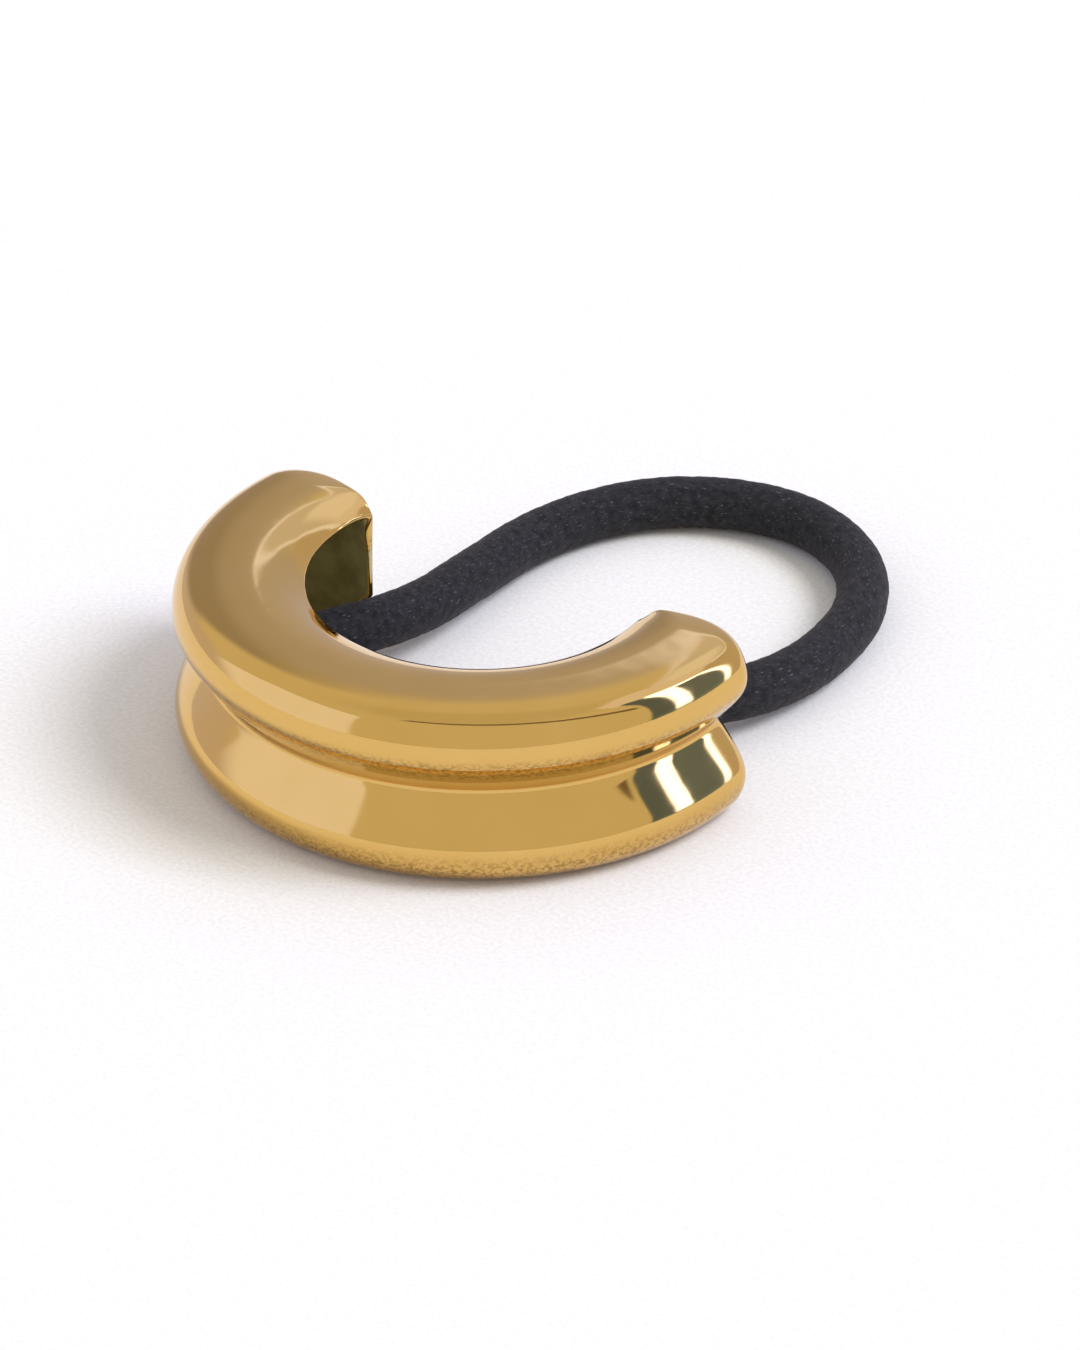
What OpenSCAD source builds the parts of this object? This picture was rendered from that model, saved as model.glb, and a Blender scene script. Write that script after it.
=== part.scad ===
// A ponytail cuff: a thin, double-ridged metal shell bent round in a C, and the round
// elastic loop that runs through the channel inside it.
// It lies on its lower ridge. The origin is the middle of the ring, on the surface that the
// cuff rests on. +Z is up, the closed side of the C faces -Y and its open side +Y.

/* [Cuff] */
// Radius of the ring over its ridges
outer_r = 23; // [20:0.5:26]
// Width of the cuff, from the ridges to the lips of the channel
radial_w = 9.8; // [8:0.2:11]
// Height of the cuff over both ridges
cuff_h = 14.4; // [13:0.2:18]
// How far round the ring the cuff reaches, in degrees
arc_deg = 207; // [190:1:225]
// Thickness of the metal
wall = 0.8; // [0.6:0.1:1]

/* [Rounded ends] */
// Length of the rounding at each end, along the ring
end_l = 3; // [2.4:0.1:4]
// How far the rounding draws the ridges in
end_w = 5.5; // [4:0.1:5.8]
// How far the rounding draws the top and the bottom in
end_h = 0.5; // [0.3:0.1:1.4]
// How far the rim of each end wall is hollowed at mid height
rim_dip = 0.5; // [0.2:0.1:1]

/* [Elastic] */
// Diameter of the elastic
elastic_d = 4.1; // [3:0.1:4.5]
// How far inside the lips the elastic runs behind the posts, to its middle
run_in = 4.4; // [4:0.1:5]
// How far inside the lips the elastic crosses the end walls, to its middle
exit_in = -0.5; // [-0.8:0.1:0.5]
// Height of the elastic's middle where it crosses the end walls
exit_z = 3.8; // [3.7:0.1:6]

/* [Fits] */
// Diameter of the two posts that hold the elastic in the channel
post_d = 1.4; // [1:0.1:2]
// Angle from the middle of the cuff to each post, in degrees
post_deg = 45; // [40:1:50]
// Gap between the elastic and the metal beside it
clearance = 0.25; // [0.1:0.05:0.5]

/* [Hidden] */

lip_r = outer_r - radial_w;
mid_r = outer_r - radial_w / 2;
mid_z = cuff_h / 2;
half_deg = arc_deg / 2;
body_half_deg = half_deg - arc_to_deg(end_l);
notch_d = elastic_d + 2 * clearance;
post_r = lip_r + run_in - elastic_d / 2 - clearance - post_d / 2;
exit_r = lip_r + exit_in;

// Guide points of the upper half of the wall, from its lip over the ridge to the waist:
// [share of the width from the lips, share of the half height from mid height]
GUIDES = [
    [0.00, 0.82],
    [0.10, 0.90],
    [0.27, 0.99],
    [0.53, 0.99],
    [0.80, 0.99],
    [0.95, 0.86],
    [1.02, 0.56],
    [0.95, 0.38],
    [0.87, 0.24],
    [0.79, 0.11],
    [0.72, 0.00]
];

// Points of the wall for each guide point, and steps along a rounded end and its rim
guide_steps = 2;
round_steps = 5;
rim_steps = 4;
// The hub that an end face's triangles meet in, as a share of the width from the lips
hub_share = 0.3;
// How far a rounded end laps over the body, and how proud of it the soldered seam stands
lap = 0.4;
seam = 0.02;

// The elastic's route round its loop: along the channel from its middle, out past the right
// end, round on the surface behind the cuff and back in at the left end
ROUTE = [
    [0, -17.6, 3.2],
    [4.6, -17, 3.2],
    [8.8, -15.3, 3.2],
    [12.4, -12.4, 3.2],
    [14.4, -9.2, 3.4],
    [15, -5.6, 3.8],
    [13.7, -2, 4.1],
    [12.5, 1.8, 4],
    [12.6, 5.4, 3.6],
    [13.8, 9.2, 3.2],
    [15.4, 12.6, 2.9],
    [16.2, 16.2, 2.6],
    [16.3, 20, 2.3],
    [15.8, 24, 2.1],
    [14.8, 28, 2.1],
    [12.6, 32, 2.1],
    [9.6, 35, 2.1],
    [6, 36.9, 2.1],
    [2.2, 37.6, 2.1],
    [-1.8, 36.9, 2.1],
    [-5.4, 35.1, 2.1],
    [-8.4, 32.4, 2.1],
    [-10.6, 28.8, 2.1],
    [-11.9, 25, 2.1],
    [-12.4, 20.8, 2.2],
    [-12.1, 16.6, 2.5],
    [-11.7, 12.6, 2.9],
    [-11.4, 8.6, 3.2],
    [-11.5, 5, 3.6],
    [-12.1, 1.4, 4],
    [-13.6, -2.2, 4.1],
    [-15, -5.6, 3.8],
    [-14.4, -9.2, 3.4],
    [-12.4, -12.4, 3.2],
    [-8.8, -15.3, 3.2],
    [-4.6, -17, 3.2]
];
elastic_sides = 10;
ring_steps = 2;

// A point of the smooth curve that four guide points lead, at share t of its stretch
function led(a, b, c, d, t) =
    (pow(1 - t, 3) * a + (3 * pow(t, 3) - 6 * pow(t, 2) + 4) * b
     + (-3 * pow(t, 3) + 3 * pow(t, 2) + 3 * t + 1) * c + pow(t, 3) * d) / 6;

// A point of the smooth curve through b and c, at share t of the way between them
function through(a, b, c, d, t) =
    (2 * b + (c - a) * t + (2 * a - 5 * b + 4 * c - d) * pow(t, 2)
     + (3 * b - a - 3 * c + d) * pow(t, 3)) / 2;

function unit(v) = v / norm(v);

// Guide points of the whole wall, its lower half mirrored, with one more past each lip
function whole(half) =
    let (last = len(half) - 1)
    let (both = concat(half, [for (i = [last - 1:-1:0]) [half[i].x, -half[i].y]]))
    let (end = len(both) - 1)
    concat([2 * both[0] - both[1]], both, [2 * both[end] - both[end - 1]]);

// The wall's outer side as shares, drawn so that it fills the width and the height
guides = whole(GUIDES);
spans = len(guides) - 3;
raw = [
    for (i = [0:spans * guide_steps])
        let (span = min(floor(i / guide_steps), spans - 1), t = i / guide_steps - span)
        led(guides[span], guides[span + 1], guides[span + 2], guides[span + 3], t)
];
widest = max([for (p = raw) p.x]) - raw[0].x;
highest = max([for (p = raw) p.y]);

// The wall's two sides at mid length: [radius, height above mid height]
outer_side = [
    for (p = raw) [lip_r + radial_w * (p.x - raw[0].x) / widest, mid_z * p.y / highest]
];
side_points = len(outer_side);
alongs = [
    for (i = [0:side_points - 1])
        unit(outer_side[min(i + 1, side_points - 1)] - outer_side[max(i - 1, 0)])
];
normals = [for (along = alongs) [-along.y, along.x]];
inner_side = outer_side - wall * normals;

// A side of the collar with which a rounded end laps over the body, proud of it all round
function collar(side, way) = [
    for (i = [0:side_points - 1])
        side[i] + seam * (way * normals[i] + (i == 0 ? -1 : 4) * alongs[i])
];

function arc_to_deg(length) = length / mid_r * 180 / PI;

// A side's point [radius, height] at an angle round the ring from the middle of the C,
// drawn in by shares of its width and height
function placed(p, angle, in_w, in_h) =
    let (r = lip_r + (p.x - lip_r) * (1 - in_w))
    [r * sin(angle), -r * cos(angle), mid_z + p.y * (1 - in_h)];

// Points from lip to lip across an end face's rim, hollowed at mid height, and its hub
function rim(side) = concat(
    [for (i = [1:rim_steps - 1])
        let (share = 1 - 2 * i / rim_steps)
        [lip_r + rim_dip * (1 - pow(share, 2)), side[0].y * share]],
    [[lip_r + hub_share * radial_w, 0]]
);

// Points of one skin of a rounded end: its collar, its side at each station, then its end
// face's rim and hub
function skin(side, way, length, in_w, in_h) = [
    for (k = [-1:round_steps])
        let (turn = 90 * max(k, 0) / round_steps, drawn_in = 1 - cos(turn))
        let (along = k < 0 ? -lap : length * sin(turn))
        for (p = k < 1 ? collar(side, way) : k < round_steps ? side : concat(side, rim(side)))
            placed(p, body_half_deg + arc_to_deg(along), drawn_in * in_w, drawn_in * in_h)
];

// Numbers of a skin's points, and the outline of its end face
function at(k, i) = (k + 1) * side_points + i;
outline = concat(
    [for (i = [0:side_points - 1]) at(round_steps, i)],
    [for (i = [rim_steps - 2:-1:0]) at(round_steps + 1, i)]
);
hub = at(round_steps + 1, rim_steps - 1);
skin_points = hub + 1;

// Faces of one skin: the swept side and the flat end face
skin_faces = concat(
    [for (k = [-1:round_steps - 1]) for (i = [0:side_points - 2]) each [
        [at(k, i), at(k + 1, i + 1), at(k, i + 1)],
        [at(k, i), at(k + 1, i), at(k + 1, i + 1)]
    ]],
    [for (i = [0:len(outline) - 1]) [hub, outline[(i + 1) % len(outline)], outline[i]]]
);

// The edge that both skins end at: the collar, then lip, rim and other lip
skin_edge = concat(
    [for (i = [side_points - 1:-1:0]) at(-1, i)],
    [for (k = [0:round_steps]) at(k, 0)],
    [for (i = [0:rim_steps - 2]) at(round_steps + 1, i)],
    [for (k = [round_steps:-1:0]) at(k, side_points - 1)]
);

// The even stretch of the thin wall, turned round the ring
module body() {
    rotate([0, 0, -90 - body_half_deg])
        rotate_extrude(angle = 2 * body_half_deg, $fn = 84)
            translate([0, mid_z])
                polygon(concat(outer_side, [for (i = [side_points - 1:-1:0]) inner_side[i]]));
}

// A rounded end, closed by its end wall, as one solid between its outer and inner skin
module rounded_end(side) {
    turned = [for (f = skin_faces) [f.z, f.y, f.x] + skin_points * [1, 1, 1]];
    joined = [
        for (i = [0:len(skin_edge) - 1])
            let (a = skin_edge[i], b = skin_edge[(i + 1) % len(skin_edge)])
            each [[a, b + skin_points, b], [a, a + skin_points, b + skin_points]]
    ];
    mirror([side, 0, 0])
        polyhedron(
            concat(
                skin(outer_side, 1, end_l, end_w / radial_w, end_h / mid_z),
                skin(inner_side, -1, end_l - wall, (end_w - wall) / (radial_w - wall),
                    max(end_h - wall, 0) / (mid_z - wall))
            ),
            concat(skin_faces, turned, joined)
        );
}

// A post behind which the elastic is caught, its ends in the middle of the wall's thickness
module post(angle) {
    intersection() {
        rotate([0, 0, angle])
            translate([0, -post_r, 0])
                cylinder(d = post_d, h = cuff_h, $fn = 24);
        rotate_extrude($fn = 84)
            translate([0, mid_z])
                polygon((outer_side + inner_side) / 2);
    }
}

// The room that the elastic needs where it crosses an end wall, open towards the lips
module notch(side) {
    mirror([side, 0, 0])
        rotate([0, 0, half_deg - 90])
            translate([exit_r, -end_l - wall, exit_z])
                union() {
                    rotate([-90, 0, 0])
                        cylinder(d = notch_d, h = end_l + 2 * wall, $fn = 32);
                    translate([-radial_w, 0, -notch_d / 2])
                        cube([radial_w, end_l + 2 * wall, notch_d]);
                }
}

// The metal: wall and posts are soldered into one piece
module cuff_shell() {
    color("goldenrod")
        difference() {
            union() {
                body();
                rounded_end(0);
                rounded_end(1);
                post(post_deg);
                post(-post_deg);
            }
            notch(0);
            notch(1);
        }
}

// The round elastic, one closed loop
module elastic_band() {
    stops = len(ROUTE);
    rings = stops * ring_steps;
    middles = [
        for (i = [0:rings - 1])
            let (n = floor(i / ring_steps) + stops)
            through(ROUTE[(n - 1) % stops], ROUTE[n % stops], ROUTE[(n + 1) % stops],
                ROUTE[(n + 2) % stops], (i % ring_steps) / ring_steps)
    ];
    points = [
        for (i = [0:rings - 1])
            let (along = unit(middles[(i + 1) % rings] - middles[(i + rings - 1) % rings]))
            let (across = unit(cross(along, [0, 0, 1])), up = cross(across, along))
            for (j = [0:elastic_sides - 1])
                let (turn = 360 * j / elastic_sides)
                middles[i] + elastic_d / 2 * (across * cos(turn) + up * sin(turn))
    ];
    faces = [
        for (i = [0:rings - 1]) for (j = [0:elastic_sides - 1])
            let (next_i = (i + 1) % rings, next_j = (j + 1) % elastic_sides)
            each [
                [i * elastic_sides + j, i * elastic_sides + next_j,
                    next_i * elastic_sides + next_j],
                [i * elastic_sides + j, next_i * elastic_sides + next_j,
                    next_i * elastic_sides + j]
            ]
    ];
    color("#26272b")
        polyhedron(points, faces);
}

cuff_shell();
elastic_band();
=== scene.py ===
# %% [markdown]
# # A ponytail cuff
#
# The object is a hollow metal cuff bent round in a C, with two ridges and a waist between
# them, and a thick round elastic that runs through the channel inside it. It lies on its
# lower ridge, with the elastic on the table behind it.
#
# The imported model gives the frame: its origin is the middle of the ring on the table, +Z is
# up, the closed side of the C faces -Y. Every length below is in metres, and the pieces are
# surfaces that numpy works out point by point, so each is a formula and not a sculpture.

import bmesh
import bpy
import numpy as np
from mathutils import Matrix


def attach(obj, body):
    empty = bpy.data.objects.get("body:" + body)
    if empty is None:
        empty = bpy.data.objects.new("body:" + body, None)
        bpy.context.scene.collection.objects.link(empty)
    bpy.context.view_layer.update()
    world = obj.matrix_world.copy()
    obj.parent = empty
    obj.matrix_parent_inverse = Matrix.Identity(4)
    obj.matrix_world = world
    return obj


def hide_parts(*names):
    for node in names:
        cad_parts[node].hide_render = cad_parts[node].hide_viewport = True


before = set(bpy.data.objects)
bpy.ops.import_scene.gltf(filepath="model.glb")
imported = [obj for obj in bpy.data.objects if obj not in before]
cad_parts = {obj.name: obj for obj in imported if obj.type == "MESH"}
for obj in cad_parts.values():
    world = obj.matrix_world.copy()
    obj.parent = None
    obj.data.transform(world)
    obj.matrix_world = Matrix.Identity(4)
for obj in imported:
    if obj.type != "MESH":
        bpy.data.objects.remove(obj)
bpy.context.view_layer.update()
MM = 0.001

# %% [markdown]
# ## Small helpers
#
# Three helpers are used all the way down. One scales vectors to length one. One turns a
# grid of points into the four-cornered faces between them. One puts points and faces into
# a mesh and gives it smooth shading, since a polished surface shows every facet.


# %% Points, faces and meshes
def unit(v):
    """Each vector divided by its length."""
    return v / np.linalg.norm(v, axis=-1, keepdims=True)


def grid_faces(rows, cols, first=0, loop_rows=False, loop_cols=False, turn=False):
    """Faces between neighbours in a grid of points that are numbered row by row.

    A looped direction joins its last line to its first. turn makes them face the other way.
    """
    i = np.arange(rows if loop_rows else rows - 1)[:, None]
    j = np.arange(cols if loop_cols else cols - 1)[None, :]
    a, b = i * cols + j, i * cols + (j + 1) % cols
    c, d = (i + 1) % rows * cols + (j + 1) % cols, (i + 1) % rows * cols + j
    quads = np.stack([a, b, c, d] if turn else [a, d, c, b], -1)
    return quads.reshape(-1, 4) + first


def piece_from(name, points, faces, weld=0.0):
    """A smooth object at the origin from points and faces, with near points welded."""
    mesh = bpy.data.meshes.new(name)
    mesh.from_pydata(points.reshape(-1, 3).tolist(), [], faces.tolist())
    if weld:
        edit = bmesh.new()
        edit.from_mesh(mesh)
        bmesh.ops.remove_doubles(edit, verts=edit.verts, dist=weld)
        bmesh.ops.recalc_face_normals(edit, faces=edit.faces)
        edit.to_mesh(mesh)
        edit.free()
    mesh.polygons.foreach_set("use_smooth", np.ones(len(mesh.polygons), bool))
    piece = bpy.data.objects.new(name, mesh)
    bpy.context.scene.collection.objects.link(piece)
    print(name, len(mesh.polygons), "faces")
    return piece


# %% [markdown]
# ## The camera
#
# The photograph was taken from above the right front, with a long lens, so that the C shows
# its ridges, its top and a little of its open inside. The camera comes first, because the
# elastic's lie was judged against what it sees. The lens is long and the camera far away,
# which keeps the near and the far side of the ring at almost the same scale.

# %% Place the camera
CAMERA_AT = (0.2525, -0.3218, 0.2498)
CAMERA_AZIMUTH = 37.5
CAMERA_ELEVATION = 30.93
LENS_MM, SENSOR_MM = 211.8, 36.0

camera_data = bpy.data.cameras.new("camera")
camera_data.sensor_fit = "HORIZONTAL"
camera_data.sensor_width = SENSOR_MM
camera_data.lens = LENS_MM
camera_data.clip_start = 0.01
camera = bpy.data.objects.new("camera", camera_data)
camera.location = CAMERA_AT
camera.rotation_euler = (np.radians(90 - CAMERA_ELEVATION), 0, np.radians(CAMERA_AZIMUTH))
bpy.context.scene.collection.objects.link(camera)
bpy.context.scene.camera = camera
print("camera", CAMERA_AT, "lens", LENS_MM, "mm")

# %% [markdown]
# ## Where the elastic runs
#
# The elastic is one loop. It starts in the middle of the channel, leaves through the notch
# in the right end wall, comes down on the table, goes round behind the cuff and back in at
# the left end. Its route is a list of points chosen along the way, and a smooth curve is
# drawn through them: between two points it is a cubic that has, at each of them, the
# direction from the point before to the point after.

# %% The elastic's route
ELASTIC_D = 4.1 * MM
ROUTE_STEPS = 16
ROUTE = MM * np.array([
    (0, -17.6, 3.2), (4.6, -17, 3.2), (8.8, -15.3, 3.2), (12.4, -12.4, 3.2),
    (14.4, -9.2, 3.4), (15, -5.6, 3.8), (13.7, -2, 4.1), (12.5, 1.8, 4),
    (12.6, 5.4, 3.6), (13.8, 9.2, 3.2), (15.4, 12.6, 2.9), (16.2, 16.2, 2.6),
    (16.3, 20, 2.3), (15.8, 24, 2.1), (14.8, 28, 2.1), (12.6, 32, 2.1),
    (9.6, 35, 2.1), (6, 36.9, 2.1), (2.2, 37.6, 2.1), (-1.8, 36.9, 2.1),
    (-5.4, 35.1, 2.1), (-8.4, 32.4, 2.1), (-10.6, 28.8, 2.1), (-11.9, 25, 2.1),
    (-12.4, 20.8, 2.2), (-12.1, 16.6, 2.5), (-11.7, 12.6, 2.9), (-11.4, 8.6, 3.2),
    (-11.5, 5, 3.6), (-12.1, 1.4, 4), (-13.6, -2.2, 4.1), (-15, -5.6, 3.8),
    (-14.4, -9.2, 3.4), (-12.4, -12.4, 3.2), (-8.8, -15.3, 3.2), (-4.6, -17, 3.2),
])


def through(points, steps):
    """A closed cubic curve through the points, with so many steps between two of them."""
    t = (np.arange(steps) / steps)[None, :, None]
    a, b, c, d = (np.roll(points, shift, axis=0)[:, None] for shift in (1, 0, -1, -2))
    curve = (2 * b + (c - a) * t + (2 * a - 5 * b + 4 * c - d) * t**2
             + (3 * b - a - 3 * c + d) * t**3) / 2
    return curve.reshape(-1, 3)


middles = through(ROUTE, ROUTE_STEPS)
elastic_length = np.linalg.norm(np.roll(middles, -1, axis=0) - middles, axis=1).sum()
print(f"elastic: {1000 * elastic_length:.1f} mm round the loop")

# %% [markdown]
# ## The elastic
#
# A hair elastic is a rubber core in a knitted cover, brushed until the knit can hardly be
# seen. It is a tube swept along the route: at each stop a circle of points lies across the
# direction of travel. The radius isn't quite even, because the soft cover has small lumps,
# so a few waves along and around the tube move each point in or out by a few hundredths of
# a millimetre.

# %% Sweep the tube
ELASTIC_SIDES = 64
SUNK, LUMP_H = 0.02 * MM, 0.045 * MM


def swept(middles, radius, sides):
    """Points of a closed tube: middle + radius * (across * cos + up * sin). radius is a
    function of the two turns, along and around, that a point lies at."""
    ahead = unit(np.roll(middles, -1, axis=0) - np.roll(middles, 1, axis=0))
    across = unit(np.cross(ahead, (0.0, 0.0, 1.0)))
    up = np.cross(across, ahead)
    along = np.linspace(0, 2 * np.pi, len(middles), endpoint=False)[:, None]
    around = np.linspace(0, 2 * np.pi, sides, endpoint=False)[None, :]
    out = across[:, None] * np.cos(around)[..., None] + up[:, None] * np.sin(around)[..., None]
    return middles[:, None] + radius(along, around)[..., None] * out


def lumpy(along, around):
    """Half the elastic's diameter, a little sunk, plus the mean of a few sine waves."""
    # Waves along the whole loop, waves once around the tube, and where they start
    waves = [(61, 3, 0.2), (97, -5, 1.3), (143, 8, 2.6), (211, -11, 4.0), (37, 2, 5.1)]
    lumps = sum(np.sin(m * along + n * around + start) for m, n, start in waves) / len(waves)
    return ELASTIC_D / 2 - SUNK + LUMP_H * lumps


tube = swept(middles, lumpy, ELASTIC_SIDES)
elastic = piece_from("elastic", tube,
                     grid_faces(len(middles), ELASTIC_SIDES, loop_rows=True, loop_cols=True))
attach(elastic, "root")
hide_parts("elastic_band")

# %% [markdown]
# ## The section of the sheet
#
# The cuff is pressed from thin sheet. Cut across, the sheet runs from the upper lip of the
# channel over the upper ridge, in to the waist, over the lower ridge and back to the lower
# lip. The upper half is led by a few guide points, and the lower half is its mirror image.
# A B-spline is used: it doesn't pass through its guides, it is drawn towards them, and so
# its curvature never jumps. On a mirror that matters, because a jump in curvature is a kink
# in every reflection.

# %% The section
OUTER_R, RADIAL_W, CUFF_H = 23 * MM, 9.8 * MM, 14.4 * MM
LIP_R, MID_R, MID_Z = OUTER_R - RADIAL_W, OUTER_R - RADIAL_W / 2, CUFF_H / 2
SHEET = 0.45 * MM
GUIDE_STEPS = 8
# How far out from the lip each guide lies, and how high above the waist, both as shares
GUIDES = np.array([
    (0.00, 0.82), (0.10, 0.90), (0.27, 0.99), (0.53, 0.99), (0.80, 0.99), (0.95, 0.86),
    (1.02, 0.56), (0.95, 0.38), (0.87, 0.24), (0.79, 0.11), (0.72, 0.00),
])


def led(guides, steps):
    """A uniform cubic B-spline led by the guides, with so many steps between two of them."""
    ends = np.vstack([2 * guides[0] - guides[1], guides, 2 * guides[-1] - guides[-2]])
    t = (np.arange(steps) / steps)[None, :, None]
    a, b, c, d = (ends[k:len(ends) - 3 + k, None] for k in range(4))
    curve = ((1 - t)**3 * a + (3 * t**3 - 6 * t**2 + 4) * b
             + (-3 * t**3 + 3 * t**2 + 3 * t + 1) * c + t**3 * d) / 6
    return np.vstack([curve.reshape(-1, 2), guides[-1]])


shares = led(np.vstack([GUIDES, GUIDES[-2::-1] * (1, -1)]), GUIDE_STEPS)
section = np.stack([
    LIP_R + RADIAL_W * (shares[:, 0] - shares[0, 0]) / np.ptp(shares[:, 0]),
    MID_Z * shares[:, 1] / shares[:, 1].max(),
], -1)
print("section:", len(section), "points,", 1000 * np.ptp(section, axis=0), "mm")

# %% [markdown]
# ## The sheet bent round in a C
#
# The section is carried round the ring. Near both ends of the C it is drawn in, more and
# more steeply, along a quarter of an ellipse, until it stands square across the ring: that
# is the rounded end. So a point of the sheet is a point of the section, an angle round the
# ring, and how far the section is drawn in there.

# %% A point of the sheet
HALF_TURN = np.radians(207 / 2)
END_L, END_W, END_H = 3 * MM, 5.5 * MM, 0.5 * MM


def placed(points, angle, in_w, in_h):
    """Section points at an angle round the ring, their width and height drawn in by shares."""
    r = LIP_R + (points[..., 0] - LIP_R) * (1 - in_w)
    z = MID_Z + points[..., 1] * (1 - in_h)
    return np.stack([r * np.sin(angle), -r * np.cos(angle), z + 0 * angle], -1)


print("lip at the right end, before it is drawn in:", placed(section[:1], HALF_TURN, 0, 0))

# %% [markdown]
# ## The rim of the end wall
#
# A flat wall closes each end as far as a rim between the two lips. The rim is a shallow bow,
# and it goes round the notch that the elastic leaves by. Its points are spread evenly along
# it, so that the wall's faces have about the same size.

# %% The rim and its notch
RIM_DIP, EXIT_R, EXIT_Z, NOTCH_D = 0.2 * MM, 12.7 * MM, 3.8 * MM, 4 * MM
RIM_SAMPLES, BOW_POWER = 3000, 16


def rim_between(lip, points):
    """Radius and height of evenly spaced points of the rim: a bow from lip to lip, or where
    that lies further out, a circle about the place where the elastic leaves."""
    share = np.linspace(1, -1, RIM_SAMPLES)
    height = lip[1] * share
    # The high power keeps the bow's ends on the lips and leaves the rest of it alone.
    bow = LIP_R + RIM_DIP * (1 - share**2) + (lip[0] - LIP_R) * share**BOW_POWER
    chord = np.maximum(NOTCH_D**2 / 4 - (height + MID_Z - EXIT_Z)**2, 0)
    radius = np.maximum(bow, EXIT_R + np.sqrt(chord))
    steps = np.hypot(np.diff(radius, prepend=radius[0]), np.diff(height, prepend=height[0]))
    walked = np.cumsum(steps)
    evenly = np.linspace(0, walked[-1], points)
    return np.stack([np.interp(evenly, walked, radius), np.interp(evenly, walked, height)], -1)


print("notch", 1000 * NOTCH_D, "mm wide, its middle", 1000 * EXIT_Z, "mm up")

# %% [markdown]
# ## Both sides of the sheet
#
# One side of the sheet is one grid of points, from the rim on the left over the rounded ends
# and the body to the rim on the right. The inner side is made the same way from a section
# that lies one thickness further in: pushing the outer side in along its normals would fold
# it up in the tight corners.

# %% Skin and lining
BODY_STOPS, ROUND_STOPS, WALL_STOPS = 180, 24, 14
SOLDER_DEPTH, SOLDER_SPREAD = 0.8, 12
sheet_along = unit(np.gradient(section, axis=0))
inner_section = section - SHEET * sheet_along[:, ::-1] * (-1, 1)


def side_of_sheet(profile, inset):
    """The whole C of a profile as a grid of points. The rounding is END_L - inset long and
    draws in END_W - inset and END_H, and the wall is ruled from there to the rim."""
    turn = np.linspace(0, np.pi / 2, ROUND_STOPS + 1)[1:, None]
    body_half = HALF_TURN - END_L / MID_R
    angle = body_half + (END_L - inset) / MID_R * np.sin(turn)
    in_w = (1 - np.cos(turn)) * (END_W - inset) / (RADIAL_W - inset)
    in_h = (1 - np.cos(turn)) * END_H / (MID_Z - inset)
    body_angle = np.linspace(-body_half, body_half, BODY_STOPS + 1)[:, None]
    body = placed(profile[None], body_angle, 0, 0)
    right = placed(profile[None], angle, in_w, in_h)
    lip = (np.hypot(*right[-1, 0, :2]), right[-1, 0, 2] - MID_Z)
    rim = placed(rim_between(lip, len(profile)), angle[-1], 0, 0)
    # Solder thickens the rim on its inner side, most of all a few points from each lip.
    from_lip = np.minimum(np.arange(len(profile)), np.arange(len(profile))[::-1])
    count = from_lip / SOLDER_SPREAD
    solder = (SOLDER_DEPTH * inset * count * np.exp(1 - count))[:, None]
    rim = rim - solder * (np.cos(HALF_TURN), np.sin(HALF_TURN), 0)
    reach = np.linspace(0, 1, WALL_STOPS + 1)[1:, None, None]
    half_side = np.concatenate([right, right[-1:] * (1 - reach) + rim[None] * reach])
    return np.concatenate([half_side[::-1] * (-1, 1, 1), body, half_side])


skin = side_of_sheet(section, 0)
lining = side_of_sheet(inner_section, SHEET)
print("each side of the sheet:", skin.shape[:2], "points")

# %% [markdown]
# ## The sheet's edge
#
# Where the two sides meet, at the lips and the rims, the edge is flat with rounded corners.
# Half of a shape between a circle and a square stands on the two sides' edge points, and it
# is carried once round the whole opening. A circle has powers of 1 of cosine and sine, and
# lower powers make it squarer.

# %% Edge and whole shell
EDGE_STEPS, SQUARENESS = 10, 0.6
rows, cols = skin.shape[:2]
flat = WALL_STOPS + 1

# The loop of the edge: upper lip to the right, right rim down, lower lip back, left rim up.
top = [(k, 0) for k in range(flat - 1, rows - flat + 1)]
right_rim = [(rows - 1, i) for i in range(1, cols - 1)]
bottom = [(k, cols - 1) for k in range(rows - flat, flat - 2, -1)]
left_rim = [(0, i) for i in range(cols - 2, 0, -1)]
loop = np.array(top + right_rim + bottom + left_rim)
edge, inner_edge = skin[loop[:, 0], loop[:, 1]], lining[loop[:, 0], loop[:, 1]]
centre, radius = (edge + inner_edge) / 2, (edge - inner_edge) / 2
loop_along = unit(np.roll(centre, -1, axis=0) - np.roll(centre, 1, axis=0))
bulge = unit(np.cross(loop_along, radius)) * SHEET / 2
if bulge[len(top) // 2] @ (0, 1, 0) < 0:
    bulge = -bulge
turn = np.linspace(0, np.pi, EDGE_STEPS + 1)[None, :, None]
wide = np.sign(np.cos(turn)) * abs(np.cos(turn))**SQUARENESS
deep = abs(np.sin(turn))**SQUARENESS
rounded = centre[:, None] + radius[:, None] * wide + bulge[:, None] * deep

shell_points = np.concatenate([a.reshape(-1, 3) for a in (skin, lining, rounded)])
shell_faces = np.concatenate([
    grid_faces(rows, cols),
    grid_faces(rows, cols, first=rows * cols, turn=True),
    grid_faces(len(loop), EDGE_STEPS + 1, first=2 * rows * cols, loop_rows=True),
])
shell = piece_from("cuff", shell_points, shell_faces, weld=0.002 * MM)

# %% [markdown]
# ## The posts in the channel
#
# Two round pins stand between the upper and the lower side of the sheet. The elastic is
# caught behind them, so the loop can't fall out of the channel. A pin is a small profile
# turned round its own axis. Its points end in the middle of the sheet's thickness, at
# whatever height the sheet has there, and it flares out as solder does where it is joined.

# %% Two posts
POST_D, POST_R, POST_ANGLE = 1.4 * MM, 14.6 * MM, np.radians(45)
SOLDER_OUT, SOLDER_UP = 0.5 * MM, 0.3 * MM


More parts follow.
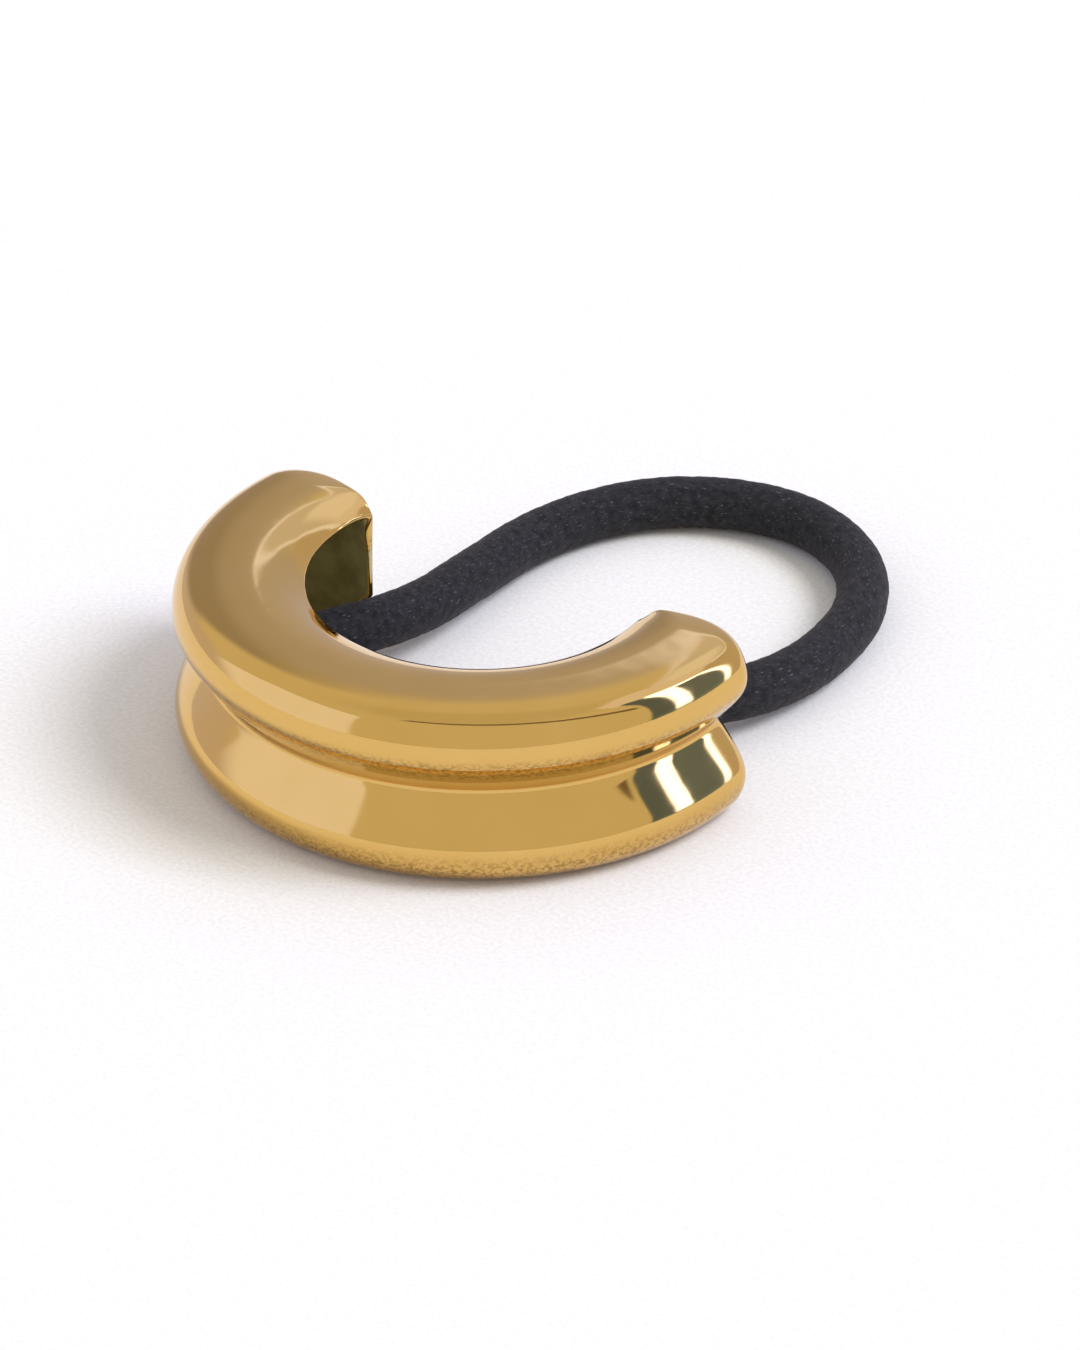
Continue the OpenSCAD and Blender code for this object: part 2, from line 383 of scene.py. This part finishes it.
def post(angle, stops=28, sides=40):
    """Points of one post: its middle + radius * (cos, sin), at a share of the height between
    the middles of the two sheets. The radius grows towards the sheets by an e-curve."""
    share = (1 - np.cos(np.linspace(0, np.pi, stops)))[:, None] / 2
    away = np.minimum(share, 1 - share) * 2 * MID_Z - SHEET
    radius = POST_D / 2 + SOLDER_OUT * np.exp(-np.maximum(away, 0) / SOLDER_UP)
    radius[[0, -1]] = 0
    around = np.linspace(0, 2 * np.pi, sides, endpoint=False)[None]
    x = POST_R * np.sin(angle) + radius * np.cos(around)
    y = -POST_R * np.cos(angle) + radius * np.sin(around)
    under = section[:len(section) // 4]
    half_height = np.interp(np.hypot(x, y), under[:, 0], under[:, 1]) - SHEET / 2
    return np.stack([x, y, MID_Z + (2 * share - 1) * half_height], -1)


post_points = np.stack([post(-POST_ANGLE), post(POST_ANGLE)])
stops, sides = post_points.shape[1:3]
posts = piece_from("posts", post_points, np.concatenate([
    grid_faces(stops, sides, first=k * stops * sides, loop_cols=True) for k in (0, 1)]),
    weld=0.001 * MM)

# %% [markdown]
# ## Colours and nodes
#
# Colours are written as hex values, as a screen shows them, and turned to the linear values
# that light adds up in. One helper adds a node to a material and sets its inputs by name.

# %% Helpers for materials
def linear(hex_colour):
    """A hex colour as a screen shows it, as the linear values that light adds up in."""
    c = np.array([int(hex_colour[k:k + 2], 16) for k in (1, 3, 5)]) / 255
    c = np.where(c <= 0.04045, c / 12.92, ((c + 0.055) / 1.055)**2.4)
    return (*c.tolist(), 1.0)


def new_material(name):
    """A material, with its node tree and its shader."""
    material = bpy.data.materials.new(name)
    material.use_nodes = True
    return material, material.node_tree, material.node_tree.nodes["Principled BSDF"]


def add(tree, kind, links=(), **settings):
    """A node of a kind in a tree. links are pairs of an input and the socket that feeds it,
    settings are values for the node's inputs or properties by name."""
    node = tree.nodes.new(kind)
    for key, value in settings.items():
        name = key.replace("_", " ")
        if name in node.inputs:
            node.inputs[name].default_value = value
        else:
            setattr(node, key, value)
    for target, source in links:
        tree.links.new(source, node.inputs[target])
    return node


# %% [markdown]
# ## Polished gold plating
#
# The cuff is sheet brass, pressed, polished on a wheel and plated with gold. The colour of a
# metal lies in what it reflects: here a warm yellow, a little lighter where the plating is
# thin. On the slope under the upper ridge a lighter colour still is painted, a painted
# reflection: it tones down the orange that the concave waist mirrors there. It depends on
# height alone, so a band of heights masks it.

# %% The colour of the plating
gold, tree, shader = new_material("polished gold plating over brass")
shader.inputs["Metallic"].default_value = 1.0
place = add(tree, "ShaderNodeTexCoord").outputs["Object"]
clouds = add(tree, "ShaderNodeTexNoise", [("Vector", place)], Scale=1 / (5 * MM), Detail=2.0)
plating = add(tree, "ShaderNodeMix", [("Factor", clouds.outputs["Fac"])], data_type="RGBA",
              A=linear("#D6AD60"), B=linear("#DCB56B"))


def band(height, full, none, most=1.0):
    """A factor that is most within full of a height, and falls to 0 at none from it."""
    level = add(tree, "ShaderNodeMapping", [("Vector", place)], Location=(0, 0, -height),
                Scale=(0, 0, 1))
    away = add(tree, "ShaderNodeVectorMath", [(0, level.outputs["Vector"])],
               operation="LENGTH")
    return add(tree, "ShaderNodeMapRange", [("Value", away.outputs["Value"])],
               From_Min=full, From_Max=none, To_Min=most, To_Max=0.0).outputs["Result"]


# Painted reflection: a lighter colour in a band of heights under the upper ridge tones down
# what the waist mirrors.
painted_reflection_band = band(MID_Z + 1.5 * MM, 0.9 * MM, 1.5 * MM, most=0.85)
lighter_painted_reflection = add(tree, "ShaderNodeMix", [("Factor", painted_reflection_band), ("A", plating.outputs["Result"])],
            data_type="RGBA", B=linear("#CBBB8A"))
print(gold.name, "so far", len(tree.nodes), "nodes")

# %% [markdown]
# ## Painted table grain under the ridges
#
# The faces under both ridges look down and mirror the grainy table. Its grain is painted into
# their colour as dark brown specks, a painted reflection of the table. Bumps this small would
# only blur a reflection, so it is drawn as colour: a speck is a place where a noise is high.
# Real dust is finer than the picture can show, and its specks are a third of a millimetre
# wide instead.

# %% Painted specks of the mirrored table grain
# Painted reflection: dark specks of the table's grain, on the faces under both ridges that
# mirror the table.
under_lower = band(0, 1.8 * MM, 3.2 * MM)
under_upper = band(MID_Z + 2.7 * MM, 0.6 * MM, 1.3 * MM, most=0.9)
painted_grain_faces = add(tree, "ShaderNodeMath", [(0, under_lower), (1, under_upper)], operation="MAXIMUM")
specks = add(tree, "ShaderNodeTexNoise", [("Vector", place)], Scale=1 / (0.33 * MM),
             Detail=3.0, Roughness=0.7)
speckled = add(tree, "ShaderNodeMapRange", [("Value", specks.outputs["Fac"])],
               From_Min=0.46, From_Max=0.58, To_Max=0.8)
# The painted grain: the height masks times the specks, mixed in as dark brown, a painted
# reflection of the table.
painted_table_grain = add(tree, "ShaderNodeMath", [(0, painted_grain_faces.outputs["Value"]),
                                    (1, speckled.outputs["Result"])], operation="MULTIPLY")
with_painted_table_grain = add(tree, "ShaderNodeMix", [("Factor", painted_table_grain.outputs["Value"]),
                                     ("A", lighter_painted_reflection.outputs["Result"])],
             data_type="RGBA", B=linear("#94733A"))
tree.links.new(with_painted_table_grain.outputs["Result"], shader.inputs["Base Color"])
print(gold.name, "with dust", len(tree.nodes), "nodes")

# %% [markdown]
# ## The polish
#
# Polishing leaves a mirror that is soft at the smallest scale, so the roughness is low and
# wanders a little. The wheel also leaves the surface very slightly wavy, which bends long
# reflections, and with a fine grain, which softens their edges.

# %% The polish
haze = add(tree, "ShaderNodeTexNoise", [("Vector", place)], Scale=1 / (1.6 * MM), Detail=4.0)
wiped = add(tree, "ShaderNodeMapRange", [("Value", haze.outputs["Fac"])],
            From_Min=0.35, From_Max=0.7, To_Min=0.035, To_Max=0.08)
tree.links.new(wiped.outputs["Result"], shader.inputs["Roughness"])
# The waves are 2.5 mm long and a few thousandths of a millimetre high.
waves = add(tree, "ShaderNodeTexNoise", [("Vector", place)], Scale=1 / (2.5 * MM), Detail=1.0)
wavy = add(tree, "ShaderNodeBump", [("Height", waves.outputs["Fac"])], Strength=1.0,
           Distance=0.006 * MM)
# The grain is a tenth of a millimetre wide, the finest that the picture can show.
grain = add(tree, "ShaderNodeTexNoise", [("Vector", place)], Scale=1 / (0.1 * MM), Detail=2.0)
grainy = add(tree, "ShaderNodeBump", [("Height", grain.outputs["Fac"]),
                                      ("Normal", wavy.outputs["Normal"])], Strength=1.0,
             Distance=0.0006 * MM)
tree.links.new(grainy.outputs["Normal"], shader.inputs["Normal"])
shell.data.materials.append(gold)
posts.data.materials.append(gold)
print(gold.name, "with its polish", len(tree.nodes), "nodes")

# %% [markdown]
# ## The unpolished inside
#
# No wheel reaches into the channel, so there the metal stays as it was pressed and plated:
# matte, darker and blotchy, with a faint pebble texture. It is less of a mirror than metal
# ought to be, because a film of lacquer and dirt lies on it. The same shell carries both
# materials, and each face is told which one it takes.

# %% Inside of the channel
inside, tree, shader = new_material("unpolished plated brass")
shader.inputs["Metallic"].default_value = 0.3
shader.inputs["Roughness"].default_value = 0.55
place = add(tree, "ShaderNodeTexCoord").outputs["Object"]
blotches = add(tree, "ShaderNodeTexNoise", [("Vector", place)], Scale=1 / (2.2 * MM),
               Detail=3.0)
blotched = add(tree, "ShaderNodeMapRange", [("Value", blotches.outputs["Fac"])],
               From_Min=0.35, From_Max=0.65)
brass = add(tree, "ShaderNodeMix", [("Factor", blotched.outputs["Result"])],
            data_type="RGBA", A=linear("#B3A878"), B=linear("#CFC692"))
tree.links.new(brass.outputs["Result"], shader.inputs["Base Color"])
pebbles = add(tree, "ShaderNodeTexNoise", [("Vector", place)], Scale=1 / (0.25 * MM),
              Detail=2.0)
pebbled = add(tree, "ShaderNodeBump", [("Height", pebbles.outputs["Fac"])], Strength=0.6,
              Distance=0.03 * MM)
tree.links.new(pebbled.outputs["Normal"], shader.inputs["Normal"])
shell.data.materials.append(inside)
outer_quads = (rows - 1) * (cols - 1)
slots = np.zeros(len(shell.data.polygons), int)
slots[outer_quads:2 * outer_quads] = 1
shell.data.polygons.foreach_set("material_index", slots)
print(inside.name, "on", slots.sum(), "of", len(slots), "faces")

# %% Both pieces of the metal
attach(shell, "root")
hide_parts("cuff_shell")
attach(posts, "root")
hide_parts("cuff_shell")

# %% [markdown]
# ## The brushed cover
#
# The cover is knitted round the rubber and brushed, so its yarns lie in a mat of fine fibres.
# It hardly shines. Single fibres catch the light as pale flecks, the mat has clouds 0.7 mm
# wide, and at a flat angle the fuzz looks lighter, which is what sheen is for. The pattern
# follows the tube through its UV map, with both directions in millimetres.

# %% A UV map in millimetres
rings = len(middles)
i, j = np.meshgrid(np.arange(rings), np.arange(ELASTIC_SIDES), indexing="ij")
corner_i = np.stack([i, i + 1, i + 1, i], -1)
corner_j = np.stack([j, j, j + 1, j + 1], -1)
cover_uv = np.stack([corner_i * elastic_length / MM / rings,
                     corner_j * np.pi * ELASTIC_D / MM / ELASTIC_SIDES], -1)
cover_map = elastic.data.uv_layers.new(name="cover")
cover_map.data.foreach_set("uv", cover_uv.astype(np.float32).ravel())
print("cover:", cover_uv.reshape(-1, 2).max(axis=0), "mm along and around")

# %% The colour of the brushed cover
cover, tree, shader = new_material("brushed knitted polyester over rubber")
shader.inputs["Roughness"].default_value = 0.92
shader.inputs["Specular IOR Level"].default_value = 0.2
shader.inputs["Sheen Weight"].default_value = 0.25
shader.inputs["Sheen Roughness"].default_value = 0.45
shader.inputs["Sheen Tint"].default_value = linear("#8C8078")
along = add(tree, "ShaderNodeUVMap", uv_map="cover").outputs["UV"]
mat_noise = add(tree, "ShaderNodeTexNoise", [("Vector", along)], Scale=1 / 0.7, Detail=4.0,
                Roughness=0.6)
matted = add(tree, "ShaderNodeMapRange", [("Value", mat_noise.outputs["Fac"])],
             From_Min=0.36, From_Max=0.66)
fibres = add(tree, "ShaderNodeMix", [("Factor", matted.outputs["Result"])],
             data_type="RGBA", A=linear("#1E1E20"), B=linear("#303033"))
# A fleck is a fibre end some 0.15 mm wide and 0.5 mm long that leans along the elastic.
leaning = add(tree, "ShaderNodeMapping", [("Vector", along)], Rotation=(0, 0, 0.35),
              Scale=(2.0, 6.5, 1.0))
flecks = add(tree, "ShaderNodeTexNoise", [("Vector", leaning.outputs["Vector"])], Scale=1.0,
             Detail=2.0)
flecked = add(tree, "ShaderNodeMapRange", [("Value", flecks.outputs["Fac"])],
              From_Min=0.62, From_Max=0.78, To_Max=0.3)
fuzzy = add(tree, "ShaderNodeMix", [("Factor", flecked.outputs["Result"]),
                                    ("A", fibres.outputs["Result"])],
            data_type="RGBA", B=linear("#A5A4AC"))
tree.links.new(fuzzy.outputs["Result"], shader.inputs["Base Color"])
print(cover.name, "so far", len(tree.nodes), "nodes")

# %% [markdown]
# ## Ribs and nap
#
# Under the fuzz lie the ribs of the knit, 0.45 mm apart, which run round the tube at a slant
# and are almost brushed away. The flecks stand up as the nap. Both are too low to be modelled
# in the tube, so they are bumps, the nap on top of the ribs. A wave texture of scale 1 has 20
# waves in 2 pi units, which gives the scale for a rib.

# %% Ribs and nap
RIB_MM = 0.45
slanted = add(tree, "ShaderNodeMapping", [("Vector", along)], Rotation=(0, 0, 0.9))
ribs = add(tree, "ShaderNodeTexWave", [("Vector", slanted.outputs["Vector"])],
           Scale=2 * np.pi / 20 / RIB_MM, Distortion=4.0, Detail=2.0)
ribbed = add(tree, "ShaderNodeBump", [("Height", ribs.outputs["Fac"])], Strength=0.35,
             Distance=0.02 * MM)
nap = add(tree, "ShaderNodeBump", [("Height", flecks.outputs["Fac"]),
                                   ("Normal", ribbed.outputs["Normal"])], Strength=0.8,
          Distance=0.05 * MM)
tree.links.new(nap.outputs["Normal"], shader.inputs["Normal"])
elastic.data.materials.append(cover)
print(cover.name, "with its ribs", len(tree.nodes), "nodes")

# %% [markdown]
# ## The table
#
# A plain pale sheet of paper, large enough that its edge shows nowhere. It gives the metal
# its light from below.

# %% Table top
TABLE_HALF = 3.0
corners = TABLE_HALF * np.array([(-1, -1, 0), (1, -1, 0), (1, 1, 0), (-1, 1, 0)])
floor = piece_from("floor", corners, np.array([(0, 1, 2, 3)]))
paper, tree, shader = new_material("pale matte paper")
shader.inputs["Roughness"].default_value = 0.95
shader.inputs["Specular IOR Level"].default_value = 0.1
place = add(tree, "ShaderNodeTexCoord").outputs["Object"]
pulp = add(tree, "ShaderNodeTexNoise", [("Vector", place)], Scale=1 / (0.35 * MM), Detail=3.0)
pulpy = add(tree, "ShaderNodeMapRange", [("Value", pulp.outputs["Fac"])],
            From_Min=0.35, From_Max=0.65)
sheet_white = add(tree, "ShaderNodeMix", [("Factor", pulpy.outputs["Result"])],
                  data_type="RGBA", A=linear("#E2E0DB"), B=linear("#ECEAE6"))
tree.links.new(sheet_white.outputs["Result"], shader.inputs["Base Color"])
floor.data.materials.append(paper)

# %% [markdown]
# ## The studio that the metal mirrors
#
# Polished metal has hardly a look of its own: it shows what stands round it. Real studio
# photographs of jewellery are made with white and black cards, so the world here is a pale
# room with soft-edged cards painted on it. A card is the region between a few planes
# through the middle of the room, and each plane's edge is faded by smoothstep. Directions
# are an azimuth, 0 towards -Y and 90 towards +X, and an elevation, both in degrees.

# %% Helpers for cards
world = bpy.data.worlds.new("studio")
bpy.context.scene.world = world
world.use_nodes = True
studio = world.node_tree
facing = add(studio, "ShaderNodeTexCoord").outputs["Generated"]
room = add(studio, "ShaderNodeRGB").outputs["Color"]
room.default_value = (0.80, 0.765, 0.69, 1)


def heading(azimuth, elevation):
    """The unit vector of an azimuth and an elevation."""
    a, e = np.radians(azimuth), np.radians(elevation)
    return np.array((np.sin(a) * np.cos(e), -np.cos(a) * np.cos(e), np.sin(e)))


def card(behind, corners, soft, colour):
    """The colours behind with a card laid over them. Its corners run clockwise, and a side is
    0 or 1 by the sine of the angle from its plane, faded over soft."""
    corners = [heading(*c) for c in corners]
    mask = None
    for a, b in zip(corners, corners[1:] + corners[:1]):
        side = add(studio, "ShaderNodeVectorMath", [(0, facing)], operation="DOT_PRODUCT")
        side.inputs[1].default_value = unit(np.cross(b, a))
        faded = add(studio, "ShaderNodeMapRange", [("Value", side.outputs["Value"])],
                    interpolation_type="SMOOTHSTEP", From_Min=-soft, From_Max=soft)
        mask = faded.outputs["Result"] if mask is None else add(
            studio, "ShaderNodeMath", [(0, mask), (1, faded.outputs["Result"])],
            operation="MULTIPLY").outputs["Value"]
    laid = add(studio, "ShaderNodeMix", [("Factor", mask), ("A", behind)], data_type="RGBA",
               B=(*colour, 1))
    return laid.outputs["Result"]


# %% Cards round the object
# Corners as azimuth and elevation, how soft the edges are, and the linear colour
CARDS = [
    # The ceiling, a little duller than the walls
    ([(180, 64), (120, 64), (60, 64), (0, 64), (-60, 64), (-120, 64)],
     0.16, (0.71, 0.68, 0.59)),
    # The low wall behind, which the top of the cuff mirrors
    ([(168, -10), (172, 30), (-160, 37), (-130, 46), (-104, 36), (-90, -10)],
     0.13, (0.61, 0.61, 0.77)),
    # A dim corner behind on the left
    ([(-138, 4), (-141, 30), (-130, 47), (-112, 43), (-101, 24), (-99, 4)],
     0.12, (0.42, 0.4, 0.44)),
    # A duller wall behind on the right
    ([(131, -20), (133, 20), (148, 44), (166, 48), (-170, 36), (-172, -20)],
     0.03, (0.66, 0.62, 0.65)),
    # A beige sheet behind: its lit edge, its face, and the brighter corner of its face
    ([(163, 44), (172, 56), (-180, 57.5), (-165, 51.5), (-152, 41), (-142, 29), (-155, 29.5),
      (-170, 33)], 0.012, (1.1, 1.23, 2.03)),
    ([(165, 46), (172, 56), (-180, 57), (-165, 51), (-153, 41), (-145, 31), (-155, 31),
      (-170, 34.5)], 0.012, (0.8, 0.82, 1.1)),
    ([(165, 46), (172, 56), (-180, 57), (-165, 51), (-158, 45), (-166, 41)],
     0.05, (1.03, 1.1, 1.6)),
    # A pale wall above it
    ([(112, 58), (125, 68), (170, 66), (-178, 60), (165, 47), (148, 44), (121, 56)],
     0.02, (0.97, 0.98, 1.34)),
    # A bright window on the left, and the softer light under it
    ([(-112, -5), (-110, 7), (-85, 30), (-60, 49), (-40, 59), (-25, 65), (-16, 49), (-10, 30),
      (-8, -5)], 0.02, (1.07, 1.13, 1.61)),
    ([(-125, -12), (-118, 8), (-95, 24), (-72, 20), (-55, -12)],
     0.14, (0.72, 0.69, 0.86)),
    # The dark joint between ceiling and wall
    ([(-8, 62), (-8, 67), (104, 41), (102, 35)], 0.012, (0.22, 0.17, 0.13)),
    # A dark card with a lit edge on the right, a lamp before it, and its dim foot
    ([(97, -15), (99, 0), (101, 20), (104, 33), (108, 45), (115, 57), (121, 60), (149, 44),
      (132, -15)], 0.012, (0.14, 0.2, 0.35)),
    ([(109, -6), (111, 16), (114, 31), (119, 43), (126, 54), (133, 57), (149, 44),
      (132, -15)], 0.02, (3.4, 3.9, 7.5)),
    ([(116, -15), (118, 14), (122, 30), (129, 42), (136, 49), (145, 43), (129, -15)],
     0.012, (0.18, 0.26, 0.46)),
    ([(100, -20), (100, 2), (134, 4), (134, -20)], 0.07, (0.27, 0.37, 0.52)),
]
look = room
for corners, soft, colour in CARDS:
    look = card(look, corners, soft, colour)
sky = studio.nodes["Background"]
studio.links.new(look, sky.inputs["Color"])
sky.inputs["Strength"].default_value = 1.0
print(len(CARDS), "cards")

# %% [markdown]
# ## The lamp
#
# One large soft lamp from the right lightens the table and gives the object a soft shadow.
# It is a sun lamp that looks 30 degrees wide, so the shadow fades out within millimetres.
# The metal doesn't mirror it, because the cards are there for that.

# %% Key lamp
LAMP_AZIMUTH, LAMP_ELEVATION, LAMP_WIDTH = 115, 50, 30

key = bpy.data.lights.new("key", "SUN")
key.energy = 2.0
key.angle = np.radians(LAMP_WIDTH)
key_light = bpy.data.objects.new("key", key)
key_light.rotation_euler = (np.radians(90 - LAMP_ELEVATION), 0, np.radians(LAMP_AZIMUTH))
key_light.visible_glossy = False
bpy.context.scene.collection.objects.link(key_light)
bpy.context.scene.view_settings.view_transform = "Standard"
print("key lamp", key.energy)
